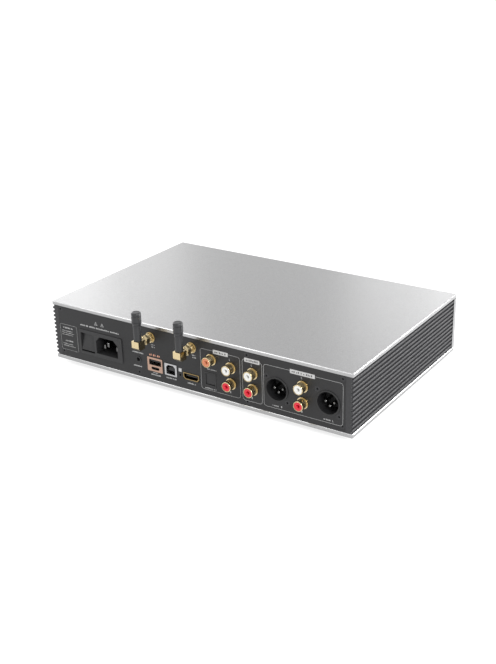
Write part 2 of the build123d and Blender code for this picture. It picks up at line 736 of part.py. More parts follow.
# ======== Balanced outputs ========
xlr_bore = 9.2
xlr_ring_radius = 10.5
xlr_lip, xlr_edge = 0.7, 0.4
xlr_depth = 14.0
xlr_back = 18.0  # from the panel's face to the shell's back
xlr_ear_radius = 2.6
xlr_ear_thickness = 3.2
xlr_pin_radius = 1.2
xlr_pin_recess = 2.9
xlr_pin_tail = 4.0  # behind the insert's front
xlr_pin_round = 0.9
xlr_pin_offsets = [(-3.75, -0.4), (3.75, -0.4), (0, -3.7)]
insert_thickness = 7.0
for name, (x, z) in xlr_at.items():
    with BuildPart() as xlr_shell:
        with BuildSketch(rear_face):
            with Locations((x, z)):
                Circle(xlr_ring_radius)
        extrude(amount=xlr_lip)
        fillet(xlr_shell.faces().sort_by(Axis.Y)[-1].edges(), xlr_edge)
        with BuildSketch(rear_face):
            with Locations((x, z)):
                Circle(xlr_body_radius)
        extrude(amount=-xlr_back)
        with BuildSketch(rear_face.offset(-panel_thickness)):
            with Locations((x, z)):
                SlotCenterToCenter(8**0.5 * xlr_screw_offset, 2 * xlr_ear_radius, rotation=-45)
        extrude(amount=-xlr_ear_thickness)
        with BuildSketch(rear_face.offset(xlr_lip)):
            with Locations((x, z)):
                Circle(xlr_bore)
        extrude(amount=-xlr_back - xlr_lip, mode=Mode.SUBTRACT)
        with BuildSketch(rear_face):
            with Locations(*xlr_screws):
                Circle(panel_screw_radius + thread_gap)
        extrude(amount=-panel_thickness - xlr_ear_thickness, mode=Mode.SUBTRACT)
    xlr_shell.part.label = f"xlr_{name}_shell"
    export_step(xlr_shell.part, f"parts/xlr_{name}_shell.step")

    with BuildPart() as xlr_insert:
        with BuildSketch(rear_face.offset(xlr_lip - xlr_depth)):
            with Locations((x, z)):
                Circle(xlr_bore)
            with Locations(*[(x + dx, z + dz) for dx, dz in xlr_pin_offsets]):
                Circle(xlr_pin_radius + thread_gap, mode=Mode.SUBTRACT)
        extrude(amount=-insert_thickness)
    xlr_insert.part.label = f"xlr_{name}_insert"
    export_step(xlr_insert.part, f"parts/xlr_{name}_insert.step")

xlr_pin_places = [(x + dx, z + dz) for x, z in xlr_at.values() for dx, dz in xlr_pin_offsets]
with BuildPart() as xlr_pins:
    with BuildSketch(rear_face.offset(xlr_lip - xlr_pin_recess)):
        with Locations(*xlr_pin_places):
            Circle(xlr_pin_radius)
    extrude(amount=-xlr_depth - xlr_pin_tail)
    fillet(xlr_pins.faces().group_by(Axis.Y)[-1].edges(), xlr_pin_round)
xlr_pins.part.label = "xlr_pins"
export_step(xlr_pins.part, "parts/xlr_pins.step")

# ======== Antennas ========
sma_reach = 7.2
sma_flange_radius, sma_flange = 4.65, 0.6
sma_hex_radius, sma_hex = 4.4, 1.6
sma_bore, sma_bore_depth = 2.35, 5.0
sma_tail = 9.0  # behind the panel's face
sma_seat, sma_seat_thickness = 8.0, 2.0  # the square inside the panel
nut_bore_gap, nut_bevel = 0.08, 0.2
plug_gap = 0.8  # the plug's body stops short of the jack
plug_pin_gap = 0.1
plug_pin_end_gap = 0.2
nut_start, nut_end = 5.6, 11.5  # the coupling nut, out from the panel
nut_radius = 4.5
nut_gap = 0.3  # between the nut and the elbow
elbow_width = 7.2
elbow_top, elbow_bottom = 3.0, -4.9  # above the connector's axis
elbow_end = 20.0
elbow_bevel = 2.2
rod_out = 16.2  # the rod's axis, out from the panel
rod_shoulder = (15.5, 18.5)  # where the rod widens, above the connector's axis
rod_top = 28.0
rod_foot_radius, rod_head_radius = 3.4, 4.05
rod_edge = 1.1
stem_radius, stem_length = 2.4, 6.0  # the elbow's stem, inside the rod
for name, (x, z) in antenna_at.items():
    with BuildPart() as sma_jack:
        with BuildSketch(rear_face.offset(-sma_tail)):
            with Locations((x, z)):
                Circle(sma_radius)
        extrude(amount=sma_tail + sma_reach)
        with BuildSketch(rear_face):
            with Locations((x, z)):
                Circle(sma_flange_radius)
        extrude(amount=sma_flange)
        with BuildSketch(rear_face.offset(sma_flange)):
            with Locations((x, z)):
                RegularPolygon(radius=sma_hex_radius, side_count=6)
        extrude(amount=sma_hex)
        with BuildSketch(rear_face.offset(-panel_thickness - sma_seat_thickness)):
            with Locations((x, z)):
                Rectangle(sma_seat, sma_seat)
        extrude(amount=sma_seat_thickness)
        with BuildSketch(rear_face.offset(sma_reach)):
            with Locations((x, z)):
                Circle(sma_bore)
        extrude(amount=-sma_bore_depth, mode=Mode.SUBTRACT)
    sma_jack.part.label = f"sma_jack_{name}"
    export_step(sma_jack.part, f"parts/sma_jack_{name}.step")

    with BuildPart() as antenna_nut:
        with BuildSketch(rear_face.offset(nut_start)):
            with Locations((x, z)):
                RegularPolygon(radius=nut_radius, side_count=6)
                Circle(sma_radius + nut_bore_gap, mode=Mode.SUBTRACT)
        extrude(amount=nut_end - nut_start)
        chamfer(antenna_nut.edges().filter_by(GeomType.CIRCLE).group_by(Axis.Y)[0], nut_bevel)
    antenna_nut.part.label = f"antenna_nut_{name}"
    export_step(antenna_nut.part, f"parts/antenna_nut_{name}.step")

    plug_end = sma_reach + plug_gap
    with BuildPart() as antenna_elbow:
        with BuildSketch(rear_face.offset(nut_end + nut_gap)):
            with Locations((x, z + (elbow_top + elbow_bottom) / 2)):
                Rectangle(elbow_width, elbow_top - elbow_bottom)
        extrude(amount=elbow_end - nut_end - nut_gap)
        lower_edges = antenna_elbow.edges().filter_by(Axis.X).sort_by(Axis.Z)[0:2]
        chamfer(lower_edges.sort_by(Axis.Y)[-1], elbow_bevel)
        with BuildSketch(rear_face.offset(nut_end + nut_gap)):
            with Locations((x, z)):
                Circle(sma_radius)
        extrude(amount=plug_end - nut_end - nut_gap)
        with BuildSketch(rear_face.offset(plug_end)):
            with Locations((x, z)):
                Circle(sma_bore - plug_pin_gap)
        extrude(amount=sma_reach - sma_bore_depth + plug_pin_end_gap - plug_end)
        with BuildSketch(Plane.XY.offset(underside + z + elbow_top)):
            with Locations((-x, rear_y + rod_out)):
                Circle(stem_radius)
        extrude(amount=stem_length)
    antenna_elbow.part.label = f"antenna_elbow_{name}"
    export_step(antenna_elbow.part, f"parts/antenna_elbow_{name}.step")

    rod_foot = underside + z + elbow_top
    with BuildPart() as antenna_rod:
        with BuildSketch(Plane.XZ.offset(-rear_y - rod_out)):
            with BuildLine():
                Polyline(
                    (-x, rod_foot),
                    (-x + rod_foot_radius, rod_foot),
                    (-x + rod_foot_radius, underside + z + rod_shoulder[0]),
                    (-x + rod_head_radius, underside + z + rod_shoulder[1]),
                    (-x + rod_head_radius, underside + z + rod_top),
                    (-x, underside + z + rod_top), close=True,
                )
            make_face()
        revolve(axis=Axis((-x, rear_y + rod_out, 0), (0, 0, 1)))
        fillet(antenna_rod.faces().sort_by(Axis.Z)[-1].edges(), rod_edge)
        with BuildSketch(Plane.XY.offset(rod_foot)):
            with Locations((-x, rear_y + rod_out)):
                Circle(stem_radius + thread_gap)
        extrude(amount=stem_length + thread_gap, mode=Mode.SUBTRACT)
    antenna_rod.part.label = f"antenna_rod_{name}"
    export_step(antenna_rod.part, f"parts/antenna_rod_{name}.step")

# ======== Front controls ========
window_recess, window_thickness, window_edge = 0.2, 2.6, 0.25
window_gap = 0.15  # all round
display_recess = 2.9  # from the front panel's face to the display's glass
display_border, display_flange_depth = 4.0, 4.0
with BuildPart() as display_window:
    with BuildSketch(front_face.offset(-window_recess)):
        with Locations(window_at):
            RectangleRounded(
                window_width - 2 * window_gap, window_height - 2 * window_gap,
                window_corner - window_gap,
            )
    extrude(amount=-window_thickness)
    chamfer(display_window.faces().sort_by(Axis.Y)[0].edges(), window_edge)
display_window.part.label = "display_window"
export_step(display_window.part, "parts/display_window.step")

with BuildPart() as display_module:
    with BuildSketch(front_face.offset(-display_recess)):
        with Locations(window_at):
            Rectangle(window_width - 2 * display_border, window_height - display_border)
    extrude(amount=display_recess - front_thickness)
    with BuildSketch(front_face.offset(-front_thickness)):
        with Locations(window_at):
            Rectangle(window_width + 2 * display_border, window_height + display_border)
    extrude(amount=-display_flange_depth)
display_module.part.label = "display_module"
export_step(display_module.part, "parts/display_module.step")

shaft_radius = 3.0
bush_reach = 0.8  # how far the encoder's bush stands out of the front panel
encoder_depth = 14.0  # from the front panel's face to the encoder's back
encoder_size = 14.0
shaft_bore_depth = 8.0
cavity_front, cavity_depth, cavity_radius = 7.0, 5.0, 4.4  # the plunger moves in here
shaft_gap = 0.05
with BuildPart() as encoder_body:
    with BuildSketch(front_face.offset(-front_thickness)):
        with Locations(knob_at):
            Rectangle(encoder_size, encoder_size)
    extrude(amount=front_thickness - encoder_depth)
    with BuildSketch(front_face.offset(bush_reach)):
        with Locations(knob_at):
            Circle(bush_radius)
    extrude(amount=-bush_reach - front_thickness)
    with BuildSketch(front_face.offset(bush_reach)):
        with Locations(knob_at):
            Circle(shaft_radius + shaft_gap)
    extrude(amount=-shaft_bore_depth, mode=Mode.SUBTRACT)
    with BuildSketch(front_face.offset(-cavity_front)):
        with Locations(knob_at):
            Circle(cavity_radius)
    extrude(amount=-cavity_depth, mode=Mode.SUBTRACT)
encoder_body.part.label = "encoder_body"
export_step(encoder_body.part, "parts/encoder_body.step")

plunger_front, plunger_thickness = 9.0, 2.0
with BuildPart() as encoder_plunger:
    with BuildSketch(front_face.offset(-plunger_front)):
        with Locations(knob_at):
            Circle(cavity_radius - shaft_gap)
    extrude(amount=-plunger_thickness)
encoder_plunger.part.label = "encoder_plunger"
export_step(encoder_plunger.part, "parts/encoder_plunger.step")

knob_radius = 16.0
knob_gap = 1.4
knob_length = 19.1
knob_cap = 5.5  # solid metal in front of the shaft's bore
shaft_end_gap = 0.5
knob_bevel, knob_back_edge = 0.9, 0.5
knob_rim, knob_dish = 2.2, 0.5
dot_from_centre, dot_radius, dot_depth = 10.5, 1.1, 0.5
knob_wall = 3.0
hub_radius, hub_depth = 5.5, 10.0
with BuildPart() as encoder_shaft:
    with BuildSketch(front_face.offset(shaft_gap - plunger_front)):
        with Locations(knob_at):
            Circle(shaft_radius)
    extrude(amount=plunger_front + knob_gap + knob_length - knob_cap - shaft_end_gap)
encoder_shaft.part.label = "encoder_shaft"
export_step(encoder_shaft.part, "parts/encoder_shaft.step")

with BuildPart() as volume_knob:
    with BuildSketch(front_face.offset(knob_gap)):
        with Locations(knob_at):
            Circle(knob_radius)
    extrude(amount=knob_length)
    chamfer(volume_knob.faces().sort_by(Axis.Y)[0].edges(), knob_bevel)
    fillet(volume_knob.faces().sort_by(Axis.Y)[-1].edges(), knob_back_edge)
    with BuildSketch(front_face.offset(knob_gap + knob_length)):
        with Locations(knob_at):
            Circle(knob_radius - knob_rim)
    extrude(amount=-knob_dish, mode=Mode.SUBTRACT)
    with BuildSketch(front_face.offset(knob_gap + knob_length - knob_dish)):
        with Locations((knob_at[0], knob_at[1] + dot_from_centre)):
            Circle(dot_radius)
    extrude(amount=-dot_depth, mode=Mode.SUBTRACT)
    with BuildSketch(front_face.offset(knob_gap)):
        with Locations(knob_at):
            Circle(knob_radius - knob_wall)
            Circle(hub_radius, mode=Mode.SUBTRACT)
    extrude(amount=hub_depth, mode=Mode.SUBTRACT)
    with BuildSketch(front_face.offset(knob_gap)):
        with Locations(knob_at):
            Circle(shaft_radius + thread_gap)
    extrude(amount=knob_length - knob_cap, mode=Mode.SUBTRACT)
volume_knob.part.label = "volume_knob"
export_step(volume_knob.part, "parts/volume_knob.step")

headphone_bore, headphone_bore_depth = 3.2, 23.0
headphone_body, headphone_body_depth = 15.0, 20.0
headphone_lip, headphone_bevel = 0.4, 0.3
with BuildPart() as headphone_jack:
    with BuildSketch(front_face.offset(-front_thickness)):
        with Locations(headphone_at):
            Rectangle(headphone_body, headphone_body)
    extrude(amount=-headphone_body_depth)
    with BuildSketch(front_face.offset(headphone_lip)):
        with Locations(headphone_at):
            Circle(headphone_ring_radius)
    extrude(amount=-headphone_lip - front_thickness)
    chamfer(headphone_jack.faces().sort_by(Axis.Y)[0].edges(), headphone_bevel)
    with BuildSketch(front_face.offset(headphone_lip)):
        with Locations(headphone_at):
            Circle(headphone_bore)
    extrude(amount=-headphone_bore_depth, mode=Mode.SUBTRACT)
headphone_jack.part.label = "headphone_jack"
export_step(headphone_jack.part, "parts/headphone_jack.step")


# ======== Inside ========
# Each board carries soldered packages: (place, width, depth, height).
relays = [((x, y), 8, 14, 7.0) for x in (-120, -84, -48) for y in (0, 18, 58)]
converters = [((x, 38), 10, 10, 1.2) for x in (-102, -66)]
boards = {
    "main_board": (main_board_area, [((30, 10), 22, 22, 2.0), ((30, -24), 14, 14, 1.4)]),
    "analog_board": (analog_board_area, relays + converters),
    "power_board": (power_board_area, [((105, 24), 24, 22, 19.0), ((90, 52), 12, 12, 16.0)]),
}
capacitors = [(118, 54), (130, 34), (130, 14)]  # on the power board
capacitor_radius, capacitor_height = 5.0, 22.0
for name, ((x_low, x_high, y_low, y_high), packages) in boards.items():
    with BuildPart() as board:
        with BuildSketch(Plane.XY.offset(board_underside)):
            with Locations(((x_low + x_high) / 2, (y_low + y_high) / 2)):
                Rectangle(x_high - x_low, y_high - y_low)
            with Locations(*standoff_xy):
                Circle(m3_radius + thread_gap, mode=Mode.SUBTRACT)
        extrude(amount=board_thickness)
        for place, package_width, package_depth, package_height in packages:
            with BuildSketch(Plane.XY.offset(board_top)):
                with Locations(place):
                    Rectangle(package_width, package_depth)
            extrude(amount=package_height)
        if name == "power_board":
            with BuildSketch(Plane.XY.offset(board_top)):
                with Locations(*capacitors):
                    Circle(capacitor_radius)
            extrude(amount=capacitor_height)
    board.part.label = name
    export_step(board.part, f"parts/{name}.step")

transformer_at = (102.0, -38.0)
transformer_radius, transformer_bore = 30.0, 9.0
transformer_height, transformer_round = 30.0, 6.0
with BuildPart() as transformer:
    with BuildSketch(Plane.XY.offset(bay_floor)):
        with Locations(transformer_at):
            Circle(transformer_radius)
            Circle(transformer_bore, mode=Mode.SUBTRACT)
    extrude(amount=transformer_height)
    fillet(transformer.edges().filter_by(GeomType.CIRCLE), transformer_round)
transformer.part.label = "transformer"
export_step(transformer.part, "parts/transformer.step")

standoff_hole_depth = 5.0
board_head_radius, board_head_height, board_head_round = 2.7, 1.8, 0.7
board_screw_length = 6.0
with BuildPart() as board_standoffs:
    with BuildSketch(Plane.XY.offset(bay_floor)):
        with Locations(*standoff_xy):
            RegularPolygon(radius=post_radius, side_count=6)
    extrude(amount=board_underside - bay_floor)
    with BuildSketch(Plane.XY.offset(board_underside)):
        with Locations(*standoff_xy):
            Circle(m3_radius + thread_gap)
    extrude(amount=-standoff_hole_depth, mode=Mode.SUBTRACT)
board_standoffs.part.label = "board_standoffs"
export_step(board_standoffs.part, "parts/board_standoffs.step")

with BuildPart() as board_screws:
    with BuildSketch(Plane.XY.offset(board_top)):
        with Locations(*standoff_xy):
            Circle(board_head_radius)
    extrude(amount=board_head_height)
    fillet(board_screws.faces().group_by(Axis.Z)[-1].edges(), board_head_round)
    with BuildSketch(Plane.XY.offset(board_top)):
        with Locations(*standoff_xy):
            Circle(m3_radius)
    extrude(amount=-board_screw_length)
board_screws.part.label = "board_screws"
export_step(board_screws.part, "parts/board_screws.step")

# A flat cable runs from the display down to the main board.
ribbon_thickness, ribbon_width, ribbon_bend = 0.6, 18.0, 5.0
ribbon_x = 10.0
ribbon_start = (front_back_y + 4.1, underside + 20)
ribbon_end = (-44.0, board_top + 0.4)
with BuildPart() as ribbon_cable:
    with BuildSketch(Plane.YZ.offset(ribbon_x)):
        with BuildLine() as ribbon_path:
            FilletPolyline(
                ribbon_start, (-74, ribbon_start[1]), (-62, ribbon_end[1]), ribbon_end,
                radius=ribbon_bend,
            )
        trace(line_width=ribbon_thickness)
    extrude(amount=ribbon_width)
ribbon_cable.part.label = "ribbon_cable"
export_step(ribbon_cable.part, "parts/ribbon_cable.step")
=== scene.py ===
import math
import random

import bmesh
import bpy
from mathutils import Matrix, Quaternion, Vector


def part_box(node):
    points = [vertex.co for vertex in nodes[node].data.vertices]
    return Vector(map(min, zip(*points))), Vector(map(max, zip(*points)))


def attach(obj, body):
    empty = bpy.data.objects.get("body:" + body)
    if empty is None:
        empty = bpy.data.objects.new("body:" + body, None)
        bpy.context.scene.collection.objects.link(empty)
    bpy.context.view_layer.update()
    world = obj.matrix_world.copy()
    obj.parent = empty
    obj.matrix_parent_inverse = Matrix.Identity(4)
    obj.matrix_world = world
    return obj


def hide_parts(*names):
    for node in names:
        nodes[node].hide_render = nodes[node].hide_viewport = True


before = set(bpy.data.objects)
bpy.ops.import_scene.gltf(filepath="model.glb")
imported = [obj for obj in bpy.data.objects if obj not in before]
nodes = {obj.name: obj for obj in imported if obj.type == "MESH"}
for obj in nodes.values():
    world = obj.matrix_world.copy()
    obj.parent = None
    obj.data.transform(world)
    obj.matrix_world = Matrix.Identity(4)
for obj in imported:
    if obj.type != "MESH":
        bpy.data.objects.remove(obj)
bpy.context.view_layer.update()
MM = 0.001

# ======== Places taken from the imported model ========
FACE_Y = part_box("rear_panel")[1].y  # the outer face of the rear panel
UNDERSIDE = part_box("bottom_plate")[0].z
REAR = Matrix(((-1, 0, 0, 0), (0, 0, 1, FACE_Y), (0, 1, 0, UNDERSIDE), (0, 0, 0, 1)))
BODY = "chassis"


def centre(name):
    """The middle of a CAD node, as (right, height) on the rear panel, in mm."""
    low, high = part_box(name)
    return -(low.x + high.x) / 2 / MM, ((low.z + high.z) / 2 - UNDERSIDE) / MM


# ======== Mesh helpers: local X right, Y up, Z out of the surface, in mm ========
def place(s=0.0, h=0.0):
    """The local frame of a point on the rear panel."""
    return REAR @ Matrix.Translation((s * MM, h * MM, 0)) @ Matrix.Scale(MM, 4)


def loop(bm, points, matrix):
    return [bm.verts.new(matrix @ Vector(p)) for p in points]


def bridge(bm, a, b):
    for i in range(len(a)):
        j = (i + 1) % len(a)
        bm.faces.new((a[i], a[j], b[j], b[i]))


def prism(bm, outline, low, high, matrix):
    """A closed prism on a flat outline, from one height to another."""
    bottom = loop(bm, [(x, y, low) for x, y in outline], matrix)
    top = loop(bm, [(x, y, high) for x, y in outline], matrix)
    bridge(bm, bottom, top)
    bm.faces.new(top)
    bm.faces.new(bottom[::-1])


def frame_prism(bm, outer, inner, low, high, matrix):
    """A closed ring between two outlines that have the same number of points."""
    loops = [
        loop(bm, [(x, y, z) for x, y in outline], matrix)
        for outline, z in ((outer, low), (outer, high), (inner, high), (inner, low))
    ]
    for i in range(4):
        bridge(bm, loops[i], loops[(i + 1) % 4])


def circle(bm, radius, z, matrix, segments):
    """A ring of vertices about local Z."""
    angles = [2 * math.pi * k / segments for k in range(segments)]
    return loop(bm, [(radius * math.cos(a), radius * math.sin(a), z) for a in angles], matrix)


def lathe(bm, profile, matrix, segments=48):
    """A closed ring of revolution about local Z, from a closed (radius, height) profile."""
    rings = []
    for k in range(segments):
        a = 2 * math.pi * k / segments
        rings.append(loop(bm, [(r * math.cos(a), r * math.sin(a), z) for r, z in profile], matrix))
    for k in range(segments):
        bridge(bm, rings[k], rings[(k + 1) % segments])


def cap_lathe(bm, profile, matrix, segments=48):
    """A closed solid of revolution; the profile's first and last points lie on the axis."""
    start = bm.verts.new(matrix @ Vector((0, 0, profile[0][1])))
    end = bm.verts.new(matrix @ Vector((0, 0, profile[-1][1])))
    rings = [circle(bm, r, z, matrix, segments) for r, z in profile[1:-1]]
    for a, b in zip(rings, rings[1:]):
        bridge(bm, a, b)
    for k in range(segments):
        j = (k + 1) % segments
        bm.faces.new((start, rings[0][j], rings[0][k]))
        bm.faces.new((end, rings[-1][k], rings[-1][j]))


def rounded(width, height, radius, steps=6, x=0.0, y=0.0):
    """The outline of a rounded rectangle about (x, y)."""
    points = []
    for i, (sx, sy) in enumerate(((1, 1), (-1, 1), (-1, -1), (1, -1))):
        for k in range(steps + 1):
            a = math.pi / 2 * (i + k / steps)
            points.append((
                x + sx * (width / 2 - radius) + radius * math.cos(a),
                y + sy * (height / 2 - radius) + radius * math.sin(a),
            ))
    return points


def bar(bm, x0, y0, x1, y1, low, high, matrix):
    """A closed box on a rectangle between two corners."""
    prism(bm, [(x0, y0), (x1, y0), (x1, y1), (x0, y1)], low, high, matrix)


def mesh_object(bm, name, look):
    """Turns a bmesh into a linked object of one material."""
    bmesh.ops.recalc_face_normals(bm, faces=bm.faces)
    mesh = bpy.data.meshes.new(name)
    bm.to_mesh(mesh)
    bm.free()
    mesh.materials.append(look)
    obj = bpy.data.objects.new(name, mesh)
    bpy.context.scene.collection.objects.link(obj)
    return obj


def piece(bm, name, look, body=BODY, smooth_angle=None):
    """Turns a bmesh into a named piece that rides on a body."""
    obj = mesh_object(bm, name, look)
    if smooth_angle is not None:
        obj.data.shade_smooth()
        obj.data.set_sharp_from_angle(angle=math.radians(smooth_angle))
    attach(obj, body)
    return obj


# ======== Materials ========
NOISE_LOW, NOISE_HIGH = 0.3, 0.7  # most of the noise falls in this range
LEAST_ROUGHNESS = 0.02
looks = {}


def shade(colour, factor):
    return tuple(min(1.0, c * factor) for c in colour[:3]) + (1.0,)


def make_look(
    name, colour, roughness, metallic=0.0, mottle=0.05, mottle_scale=300.0, spread=0.05,
    grain=0.0, grain_scale=2500.0, stretch=(1, 1, 1), **direct,
):
    """A material whose colour, roughness and relief come from noise in the row's frame."""
    look = bpy.data.materials.new("look_" + name)
    look.use_nodes = True
    look.diffuse_color = colour
    tree = look.node_tree
    shader = tree.nodes["Principled BSDF"]
    shader.inputs["Metallic"].default_value = metallic
    for socket, value in direct.items():
        shader.inputs[socket.replace("_", " ")].default_value = value

    def node(kind, **inputs):
        made = tree.nodes.new(kind)
        for key, value in inputs.items():
            made.inputs[key.replace("_", " ")].default_value = value
        return made

    def link(a, b):
        tree.links.new(a, b)

    where = node("ShaderNodeTexCoord")
    mapping = node("ShaderNodeMapping", Scale=stretch)
    link(where.outputs["Object"], mapping.inputs["Vector"])
    cloud = node("ShaderNodeTexNoise", Scale=mottle_scale, Detail=3.0, Roughness=0.6)
    link(mapping.outputs["Vector"], cloud.inputs["Vector"])
    ramp = node("ShaderNodeValToRGB")
    ramp.color_ramp.elements[0].position = NOISE_LOW
    ramp.color_ramp.elements[0].color = shade(colour, 1 - mottle)
    ramp.color_ramp.elements[1].position = NOISE_HIGH
    ramp.color_ramp.elements[1].color = shade(colour, 1 + mottle)
    link(cloud.outputs["Fac"], ramp.inputs["Fac"])
    link(ramp.outputs["Color"], shader.inputs["Base Color"])
    rough = node(
        "ShaderNodeMapRange", From_Min=NOISE_LOW, From_Max=NOISE_HIGH,
        To_Min=max(LEAST_ROUGHNESS, roughness - spread), To_Max=roughness + spread,
    )
    fine = node("ShaderNodeTexNoise", Scale=grain_scale, Detail=2.0, Roughness=0.7)
    link(mapping.outputs["Vector"], fine.inputs["Vector"])
    link(fine.outputs["Fac"], rough.inputs["Value"])
    link(rough.outputs["Result"], shader.inputs["Roughness"])
    if grain:
        bump = node("ShaderNodeBump", Strength=1.0, Distance=grain)
        link(fine.outputs["Fac"], bump.inputs["Height"])
        link(bump.outputs["Normal"], shader.inputs["Normal"])
    looks[name] = look
    return look


# The materials that the CAD nodes name.
make_look(
    "natural_aluminium", (0.37, 0.37, 0.373, 1), 0.28, 1.0, mottle=0.035, mottle_scale=420,
    grain=0.00002, grain_scale=2600, spread=0.06,
)
make_look(
    "black_aluminium", (0.030, 0.030, 0.032, 1), 0.45, 0.1, mottle=0.08, mottle_scale=500,
    grain=0.00002, grain_scale=2600, spread=0.05, Specular_IOR_Level=0.3,
)
make_look(
    "panel_paint", (0.010, 0.010, 0.0108, 1), 0.5, 0.0, mottle=0.14, mottle_scale=700,
    grain=0.00003, grain_scale=2200, spread=0.06, Specular_IOR_Level=0.38,
)
make_look(
    "gold_plate", (0.58, 0.475, 0.285, 1), 0.14, 1.0, mottle=0.06, mottle_scale=900,
    grain=0.000003, grain_scale=3000, spread=0.05,
)
make_look(
    "copper_plate", (0.41, 0.275, 0.212, 1), 0.34, 1.0, mottle=0.06, mottle_scale=900,
    grain=0.000005, grain_scale=3000, spread=0.05,
)
make_look(
    "nickel_plate", (0.50, 0.49, 0.47, 1), 0.28, 1.0, mottle=0.05, mottle_scale=700,
    grain=0.000004, grain_scale=3000,
)
make_look(
    "tinned_steel", (0.42, 0.42, 0.425, 1), 0.3, 1.0, mottle=0.06, mottle_scale=600,
    grain=0.000005, grain_scale=3000,
)
make_look(
    "black_steel", (0.028, 0.028, 0.03, 1), 0.38, 0.5, mottle=0.12, mottle_scale=900,
    grain=0.00001, grain_scale=3200,
)
make_look(
    "zinc_steel", (0.55, 0.56, 0.57, 1), 0.36, 1.0, mottle=0.08, mottle_scale=500,
    grain=0.00001, grain_scale=2500,
)
make_look(
    "shaft_steel", (0.5, 0.5, 0.5, 1), 0.26, 1.0, mottle=0.04, mottle_scale=800,
    stretch=(1, 0.1, 1), grain=0.000004, grain_scale=4000,
)
make_look(
    "black_plastic", (0.022, 0.022, 0.023, 1), 0.45, mottle=0.10, mottle_scale=900,
    grain=0.00002, grain_scale=2400, Specular_IOR_Level=0.3,
)
make_look(
    "gloss_black_plastic", (0.024, 0.024, 0.025, 1), 0.3, mottle=0.08, mottle_scale=500,
    grain=0.000006, grain_scale=1600, Specular_IOR_Level=0.3,
)
make_look(
    "white_plastic", (0.60, 0.60, 0.58, 1), 0.36, mottle=0.03, mottle_scale=700,
    grain=0.000006, grain_scale=2400,
)
make_look(
    "red_plastic", (0.52, 0.004, 0.020, 1), 0.34, mottle=0.05, mottle_scale=700,
    grain=0.000006, grain_scale=2400,
)
make_look(
    "orange_plastic", (0.50, 0.17, 0.08, 1), 0.36, mottle=0.05, mottle_scale=700,
    grain=0.000006, grain_scale=2400,
)
make_look(
    "foot_rubber", (0.022, 0.022, 0.022, 1), 0.78, mottle=0.15, mottle_scale=600,
    grain=0.00005, grain_scale=1500,
)
make_look(
    "antenna_rubber", (0.012, 0.0125, 0.014, 1), 0.40, mottle=0.10, mottle_scale=700,
    grain=0.00002, grain_scale=2400,
)
make_look(
    "smoked_glass", (0.008, 0.008, 0.009, 1), 0.06, mottle=0.06, mottle_scale=120,
    spread=0.02, grain_scale=400, IOR=1.5,
)
make_look(
    "circuit_board", (0.012, 0.10, 0.035, 1), 0.36, mottle=0.2, mottle_scale=260,
    grain=0.00002, grain_scale=1200,
)
make_look(
    "transformer_wrap", (0.55, 0.36, 0.08, 1), 0.42, mottle=0.12, mottle_scale=160,
    stretch=(1, 1, 5), grain=0.00003, grain_scale=700,
)
make_look(
    "flat_cable", (0.40, 0.40, 0.41, 1), 0.5, mottle=0.10, mottle_scale=300,
    stretch=(6, 1, 1), grain=0.00003, grain_scale=500,
)
# Looks that only this script uses.
make_look(
    "bronze_plate", (0.25, 0.18, 0.085, 1), 0.24, 1.0, mottle=0.06, mottle_scale=900,
    grain=0.000005, grain_scale=3000,
)
make_look(
    "print_white", (0.40, 0.40, 0.40, 1), 0.55, mottle=0.05, mottle_scale=900,
    grain=0.000004, grain_scale=3000,
)
make_look(
    "print_copper", (0.62, 0.30, 0.20, 1), 0.5, mottle=0.05, mottle_scale=900,
    grain=0.000004, grain_scale=3000,
)
# Painted shade: a darkened copy of the pins' nickel plating stands in for the shade inside the XLR
# and mains sockets, so only small glints show on the pins.
make_look(
    "shaded_pin_plate", (0.13, 0.13, 0.128, 1), 0.14, 1.0, mottle=0.05, mottle_scale=900,
    grain=0.000003, grain_scale=3000,
)
# The XLR pins and the mains blades take the darkened plating with its painted shade.
OTHER_LOOK = {"hdmi_shell": "bronze_plate", "xlr_pins": "shaded_pin_plate", "inlet_blades": "shaded_pin_plate"}
for name, obj in nodes.items():
    for entry in obj.material_slots:
        entry.material = looks[OTHER_LOOK.get(name, entry.material.name)]

# ======== Printed marks on the rear panel ========
# Sizes and places on the panel are in mm: right of its middle, and up from the case's underside.
SUNK, INK = 0.02, 0.04  # the print reaches this far into the paint and out of it
MARK_WIDTHS = (0.45, 0.6, 0.7)  # shares of a row's size, like the two below
MARK_HEIGHTS = (1.0, 1.0, 0.72)
MARK_GAPS = (0.4, 0.45, 0.5, 1.1)
ROW_END = 0.2  # a row stops when less than this share of its size is left
LETTER_WIDTH, LETTER_STROKE, LETTER_WAIST = 0.55, 0.16, 0.48  # shares of a letter's size
LEG_LEFT, LEG_RIGHT = 2, 3.2  # the top of R's leg, in strokes from its left
draw = random.Random(7)


def words(bm, s0, s1, h, size, low=-SUNK, high=INK):
    """One row of generic marks of the size of small print."""
    x = s0
    while x < s1 - ROW_END * size:
        width = min(size * draw.choice(MARK_WIDTHS), s1 - x)
        tall = size * draw.choice(MARK_HEIGHTS)
        bar(bm, x, h - size / 2, x + width, h - size / 2 + tall, low, high, place())
        x += width + size * draw.choice(MARK_GAPS)


def line_frame(bm, s0, s1, h0, h1, radius, width):
    """A printed rounded outline."""
    x, y = (s0 + s1) / 2, (h0 + h1) / 2
    outer = rounded(s1 - s0, h1 - h0, radius, x=x, y=y)
    inner = rounded(s1 - s0 - 2 * width, h1 - h0 - 2 * width, radius - width, x=x, y=y)
    frame_prism(bm, outer, inner, -SUNK, INK, place())


